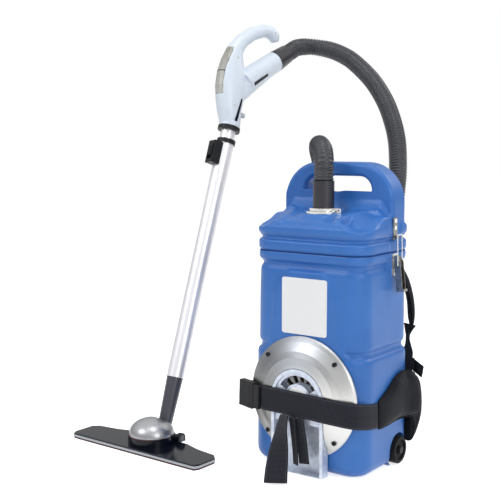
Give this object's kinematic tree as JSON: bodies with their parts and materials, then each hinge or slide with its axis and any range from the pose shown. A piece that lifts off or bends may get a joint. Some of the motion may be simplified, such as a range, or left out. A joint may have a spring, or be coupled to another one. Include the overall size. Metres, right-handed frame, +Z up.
{
  "type": "backpack vacuum cleaner",
  "caption": "Backpack vacuum cleaner: moulded tank with carrying arch, padded harness, ribbed hose, telescopic wand and floor nozzle.",
  "frame": {"origin": "on the floor under the middle of the tank", "axes": "+X to the machine's right, -Y its front (motor cover side), +Z up"},
  "size_m": [0.6894, 0.6221, 0.9274],
  "materials": {
    "shell_blue": "satin rotomoulded",
    "steel": "polished",
    "stand_steel": "galvanised",
    "chrome": "polished",
    "latch_steel": "bright",
    "black_plastic": "satin",
    "black_gloss": "gloss",
    "grip_plastic": "satin",
    "window_plastic": "smoked",
    "white_plastic": "satin",
    "grey_plastic": "satin",
    "dark_red": "satin",
    "rubber": "matte",
    "tube_alu": "anodised",
    "webbing": "woven",
    "pad_cloth": "padded cloth",
    "hose": "ribbed",
    "bag_paper": "matte",
    "filter": "felt",
    "motor_metal": "satin",
    "copper": "wound"
  },
  "bodies": {
    "root": {"tank_shell": "shell_blue", "dust_bag": "bag_paper", "filter_disc": "filter", "motor_deck": "grey_plastic", "motor_casing": "motor_metal", "motor_bearings": "steel", "motor_cover": "steel", "cover_screws": "steel", "motor_stand": "stand_steel", "stand_cap": "white_plastic", "blank_plate": "white_plastic", "power_inlet": "black_plastic", "latch_plates": "latch_steel", "wheel_brackets": "black_plastic", "back_pad": "pad_cloth", "shoulder_pad_right": "pad_cloth", "shoulder_pad_left": "pad_cloth", "shoulder_webs": "webbing", "strap_sliders": "webbing", "hip_pad_right": "pad_cloth", "hip_pad_left": "pad_cloth", "waist_belt": "webbing", "belt_tails": "webbing", "buckle_socket": "black_plastic", "buckle_tongue": "black_plastic", "outer_tube": "tube_alu", "tube_collar": "black_plastic", "slider_body": "black_plastic", "nozzle_neck": "black_plastic", "hose_low": "hose", "hose_up": "hose"},
    "lid": {"lid_shell": "shell_blue", "lid_gasket": "rubber", "inlet_flange": "chrome", "inlet_pipe": "grey_plastic", "latch_keepers": "latch_steel", "latch_rivets": "latch_steel", "hose_cuff_lid": "black_plastic"},
    "grip": {"inner_tube": "tube_alu", "grip_right": "grip_plastic", "grip_left": "grip_plastic", "grip_window": "window_plastic", "grip_inlays": "black_gloss", "grip_screws": "steel", "grip_ring": "black_plastic", "hose_cuff_grip": "black_plastic"},
    "telescope_slider": {"slider_button": "grey_plastic"},
    "grip_push": {"grip_button": "grey_plastic"},
    "lever_right": {"latch_lever_right": "latch_steel"},
    "lever_left": {"latch_lever_left": "latch_steel"},
    "bail_right": {"latch_bail_right": "latch_steel"},
    "bail_left": {"latch_bail_left": "latch_steel"},
    "wheel_right": {"wheel_right": "rubber"},
    "wheel_left": {"wheel_left": "rubber"},
    "rotor": {"fan_rotor": "copper"},
    "turret": {"nozzle_dome": "steel", "dome_seal": "dark_red"},
    "nozzle": {"nozzle_top": "black_gloss", "nozzle_bumper": "grey_plastic", "nozzle_sole": "dark_red"}
  },
  "joints": [
    {"name": "lid_lift", "type": "slide", "parent": "root", "child": "lid", "axis": [0, 0, 1], "range_m": [0, 0.08], "deforming": ["hose_low"]},
    {"name": "telescope", "type": "slide", "parent": "root", "child": "grip", "axis": [0, 0.342, 0.9397], "range_m": [0, 0.25], "deforming": ["hose_up"]},
    {"name": "telescope_lock", "type": "slide", "parent": "root", "child": "telescope_slider", "axis": [0, -0.342, -0.9397], "range_m": [0, 0.006], "stiffness_N_per_m": 400},
    {"name": "grip_button_push", "type": "slide", "parent": "grip", "child": "grip_push", "axis": [-0.342, -0.883, 0.3214], "range_m": [0, 0.003], "stiffness_N_per_m": 500},
    {"name": "lever_right_swing", "type": "hinge", "parent": "root", "child": "lever_right", "pos_m": [0.134, 0.024, 0.424], "axis": [0, -1, 0], "range_deg": [-6, 140]},
    {"name": "lever_left_swing", "type": "hinge", "parent": "root", "child": "lever_left", "pos_m": [-0.134, 0.024, 0.424], "axis": [0, 1, 0], "range_deg": [-6, 140]},
    {"name": "bail_right_swing", "type": "hinge", "parent": "lever_right", "child": "bail_right", "pos_m": [0.14049, 0.024, 0.4101], "axis": [0, -1, 0], "range_deg": [-280, 12]},
    {"name": "bail_left_swing", "type": "hinge", "parent": "lever_left", "child": "bail_left", "pos_m": [-0.14049, 0.024, 0.4101], "axis": [0, 1, 0], "range_deg": [-280, 12]},
    {"name": "wheel_right_spin", "type": "hinge", "parent": "root", "child": "wheel_right", "pos_m": [0.127, 0.046, 0.028], "axis": [1, 0, 0], "continuous": true},
    {"name": "wheel_left_spin", "type": "hinge", "parent": "root", "child": "wheel_left", "pos_m": [-0.127, 0.046, 0.028], "axis": [1, 0, 0], "continuous": true},
    {"name": "fan_spin", "type": "hinge", "parent": "root", "child": "rotor", "pos_m": [0, -0.05, 0.15], "axis": [0, 1, 0], "continuous": true},
    {"name": "nozzle_tilt", "type": "hinge", "parent": "root", "child": "turret", "pos_m": [-0.342, -0.138, 0.02], "axis": [1, 0, 0], "range_deg": [-20, 38]},
    {"name": "nozzle_swivel", "type": "hinge", "parent": "turret", "child": "nozzle", "pos_m": [-0.346, -0.17, 0.015], "axis": [0, 0, 1], "range_deg": [-45, 45]}
  ],
  "couplings": [
    {"joint": "bail_right_swing", "follows": "lever_right_swing", "ratio": -2},
    {"joint": "bail_left_swing", "follows": "lever_left_swing", "ratio": -2}
  ]
}
